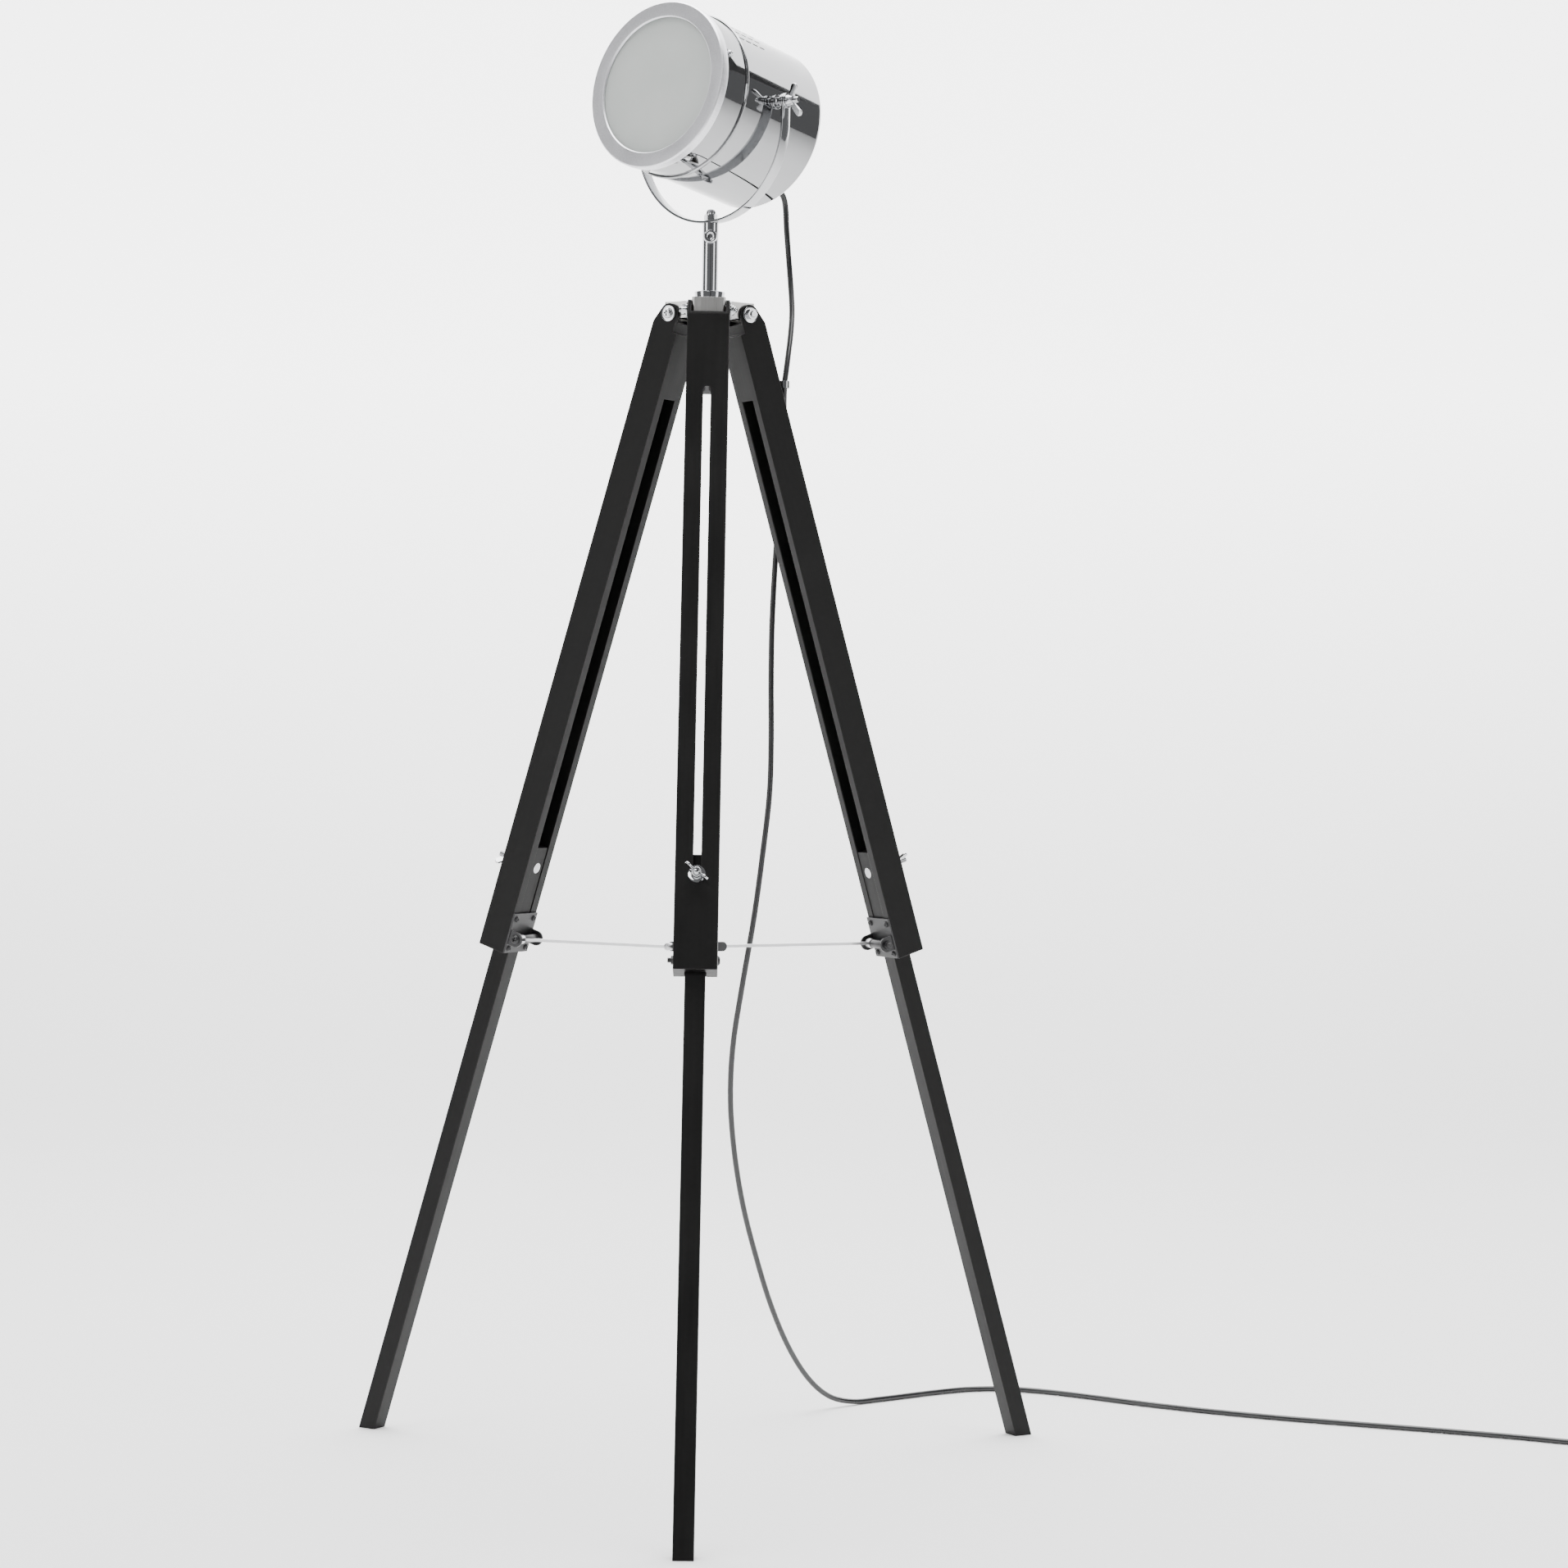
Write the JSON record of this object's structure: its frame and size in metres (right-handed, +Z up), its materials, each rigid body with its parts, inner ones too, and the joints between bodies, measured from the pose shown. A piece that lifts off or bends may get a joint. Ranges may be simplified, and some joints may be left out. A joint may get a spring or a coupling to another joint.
{
  "type": "tripod floor lamp",
  "caption": "Floor lamp with a chrome spotlight head in a tilting yoke on a short stem, over a tripod of telescopic black wooden legs with a folding spreader.",
  "frame": {"origin": "on the tripod's axis at floor level, midway between the feet", "axes": "+Z up along the stem; the front leg points towards -Y; +X to the right seen from the front"},
  "size_m": [1.4338, 0.8812, 1.51],
  "materials": {
    "black_wood": "satin black painted wood",
    "chrome": "polished chrome plate",
    "mirror_chrome": "mirror polished chrome plate",
    "black_metal": "satin black painted steel",
    "strut_steel": "bright zinc plated steel",
    "satin_nickel": "satin nickel plate",
    "satin_bezel": "pale satin aluminium",
    "frosted_glass": "frosted glass",
    "reflector": "spun bright aluminium",
    "holder_plastic": "heat resistant moulded plastic",
    "opal_glass": "opal glass",
    "black_plastic": "moulded black plastic",
    "cord_black": "glossy black sheath"
  },
  "bodies": {
    "root": {"hub": "satin_nickel", "hub_collar": "chrome", "stem": "chrome", "bracket_screws": "chrome", "top_bracket_front": "satin_nickel", "pivot_bolt_front": "chrome", "top_bracket_right": "satin_nickel", "pivot_bolt_right": "chrome", "top_bracket_left": "satin_nickel", "pivot_bolt_left": "chrome", "head_lead": "cord_black", "main_cord": "cord_black", "cord_coil": "cord_black", "plug": "black_plastic", "plug_pins": "chrome"},
    "leg_front": {"upper_leg_front": "black_wood", "spreader_bracket_front": "black_metal", "spreader_bolt_front": "black_metal"},
    "foot_front": {"lower_leg_front": "black_wood", "clamp_bolt_front": "chrome"},
    "clamp_nut_front": {"wing_nut_front": "chrome"},
    "strut_front": {"strut_front": "strut_steel"},
    "leg_right": {"upper_leg_right": "black_wood", "spreader_bracket_right": "black_metal", "spreader_bolt_right": "black_metal", "cord_clip": "chrome"},
    "foot_right": {"lower_leg_right": "black_wood", "clamp_bolt_right": "chrome"},
    "clamp_nut_right": {"wing_nut_right": "chrome"},
    "strut_right": {"strut_right": "strut_steel"},
    "leg_left": {"upper_leg_left": "black_wood", "spreader_bracket_left": "black_metal", "spreader_bolt_left": "black_metal"},
    "foot_left": {"lower_leg_left": "black_wood", "clamp_bolt_left": "chrome"},
    "clamp_nut_left": {"wing_nut_left": "chrome"},
    "strut_left": {"strut_left": "strut_steel"},
    "spreader_centre": {"spreader_centre": "black_metal"},
    "lock_screw": {"lock_screw": "chrome"},
    "yoke": {"yoke": "chrome", "pan_spigot": "satin_nickel", "acorn_nut": "chrome"},
    "head": {"drum": "mirror_chrome", "rear_cap": "mirror_chrome", "front_collar": "mirror_chrome", "bezel": "satin_bezel", "lens": "frosted_glass", "collar_screws": "chrome", "reflector": "reflector", "holder_bracket": "satin_nickel", "lamp_holder": "holder_plastic", "bulb": "opal_glass", "tilt_bolts": "chrome", "toggle_body": "chrome", "cord_gland": "black_plastic"},
    "tilt_nut_right": {"tilt_nut_right": "chrome"},
    "tilt_nut_left": {"tilt_nut_left": "chrome"},
    "toggle": {"toggle_lever": "chrome"}
  },
  "joints": [
    {"name": "leg_fold", "type": "hinge", "parent": "root", "child": "leg_front", "pos_m": [0, -0.036, 1.2], "axis": [1, 0, 0], "range_deg": [0, 15]},
    {"name": "strut_swing_front", "type": "hinge", "parent": "leg_front", "child": "strut_front", "pos_m": [0, -0.2163, 0.54279], "axis": [1, 0, 0], "range_deg": [0, 71.95]},
    {"name": "leg_slide_front", "type": "slide", "parent": "leg_front", "child": "foot_front", "axis": [0, 0.3012, 0.9536], "range_m": [0, 0.4]},
    {"name": "clamp_nut_turn_front", "type": "hinge", "parent": "foot_front", "child": "clamp_nut_front", "pos_m": [0, -0.23537, 0.62851], "axis": [0, -0.9536, 0.3012], "range_deg": [0, 360]},
    {"name": "leg_fold_right", "type": "hinge", "parent": "root", "child": "leg_right", "pos_m": [0.03118, 0.018, 1.2], "axis": [-0.5, 0.866, 0], "range_deg": [0, 15], "deforming": ["head_lead", "main_cord"]},
    {"name": "strut_swing_right", "type": "hinge", "parent": "leg_right", "child": "strut_right", "pos_m": [0.18732, 0.10815, 0.54279], "axis": [-0.5, 0.866, 0], "range_deg": [0, 71.95]},
    {"name": "leg_slide_right", "type": "slide", "parent": "leg_right", "child": "foot_right", "axis": [-0.2608, -0.1506, 0.9536], "range_m": [0, 0.4]},
    {"name": "clamp_nut_turn_right", "type": "hinge", "parent": "foot_right", "child": "clamp_nut_right", "pos_m": [0.20384, 0.11769, 0.62851], "axis": [0.8258, 0.4768, 0.3012], "range_deg": [0, 360]},
    {"name": "leg_fold_left", "type": "hinge", "parent": "root", "child": "leg_left", "pos_m": [-0.03118, 0.018, 1.2], "axis": [-0.5, -0.866, 0], "range_deg": [0, 15]},
    {"name": "strut_swing_left", "type": "hinge", "parent": "leg_left", "child": "strut_left", "pos_m": [-0.18732, 0.10815, 0.54279], "axis": [-0.5, -0.866, 0], "range_deg": [0, 71.95]},
    {"name": "leg_slide_left", "type": "slide", "parent": "leg_left", "child": "foot_left", "axis": [0.2608, -0.1506, 0.9536], "range_m": [0, 0.4]},
    {"name": "clamp_nut_turn_left", "type": "hinge", "parent": "foot_left", "child": "clamp_nut_left", "pos_m": [-0.20384, 0.11769, 0.62851], "axis": [-0.8258, 0.4768, 0.3012], "range_deg": [0, 360]},
    {"name": "spreader_lift", "type": "slide", "parent": "root", "child": "spreader_centre", "axis": [0, 0, 1], "range_m": [0, 0.1623]},
    {"name": "lock_screw_turn", "type": "hinge", "parent": "root", "child": "lock_screw", "pos_m": [0, -0.012, 1.2785], "axis": [0, -1, 0], "range_deg": [0, 360]},
    {"name": "head_pan", "type": "hinge", "parent": "root", "child": "yoke", "pos_m": [0, 0, 1.29], "axis": [0, 0, 1], "range_deg": [-45, 45], "deforming": ["head_lead"]},
    {"name": "head_tilt", "type": "hinge", "parent": "yoke", "child": "head", "pos_m": [0, 0, 1.4115], "axis": [0.7793, -0.6266, 0], "range_deg": [-25, 40], "deforming": ["head_lead"]},
    {"name": "tilt_nut_turn_right", "type": "hinge", "parent": "head", "child": "tilt_nut_right", "pos_m": [0.07793, -0.06266, 1.4115], "axis": [0.7793, -0.6266, 0], "range_deg": [0, 360]},
    {"name": "tilt_nut_turn_left", "type": "hinge", "parent": "head", "child": "tilt_nut_left", "pos_m": [-0.07793, 0.06266, 1.4115], "axis": [-0.7793, 0.6266, 0], "range_deg": [0, 360]},
    {"name": "toggle_throw", "type": "hinge", "parent": "head", "child": "toggle", "pos_m": [0.05427, 0.0675, 1.44578], "axis": [0.7793, -0.6266, 0], "range_deg": [-30, 0]}
  ],
  "couplings": [
    {"joint": "strut_swing_front", "follows": "leg_fold", "ratio": 4.7936},
    {"joint": "leg_fold_right", "follows": "leg_fold", "ratio": 1},
    {"joint": "strut_swing_right", "follows": "leg_fold", "ratio": 4.7936},
    {"joint": "leg_fold_left", "follows": "leg_fold", "ratio": 1},
    {"joint": "strut_swing_left", "follows": "leg_fold", "ratio": 4.7936},
    {"joint": "spreader_lift", "follows": "leg_fold", "m_per_rad": 0.61788}
  ]
}
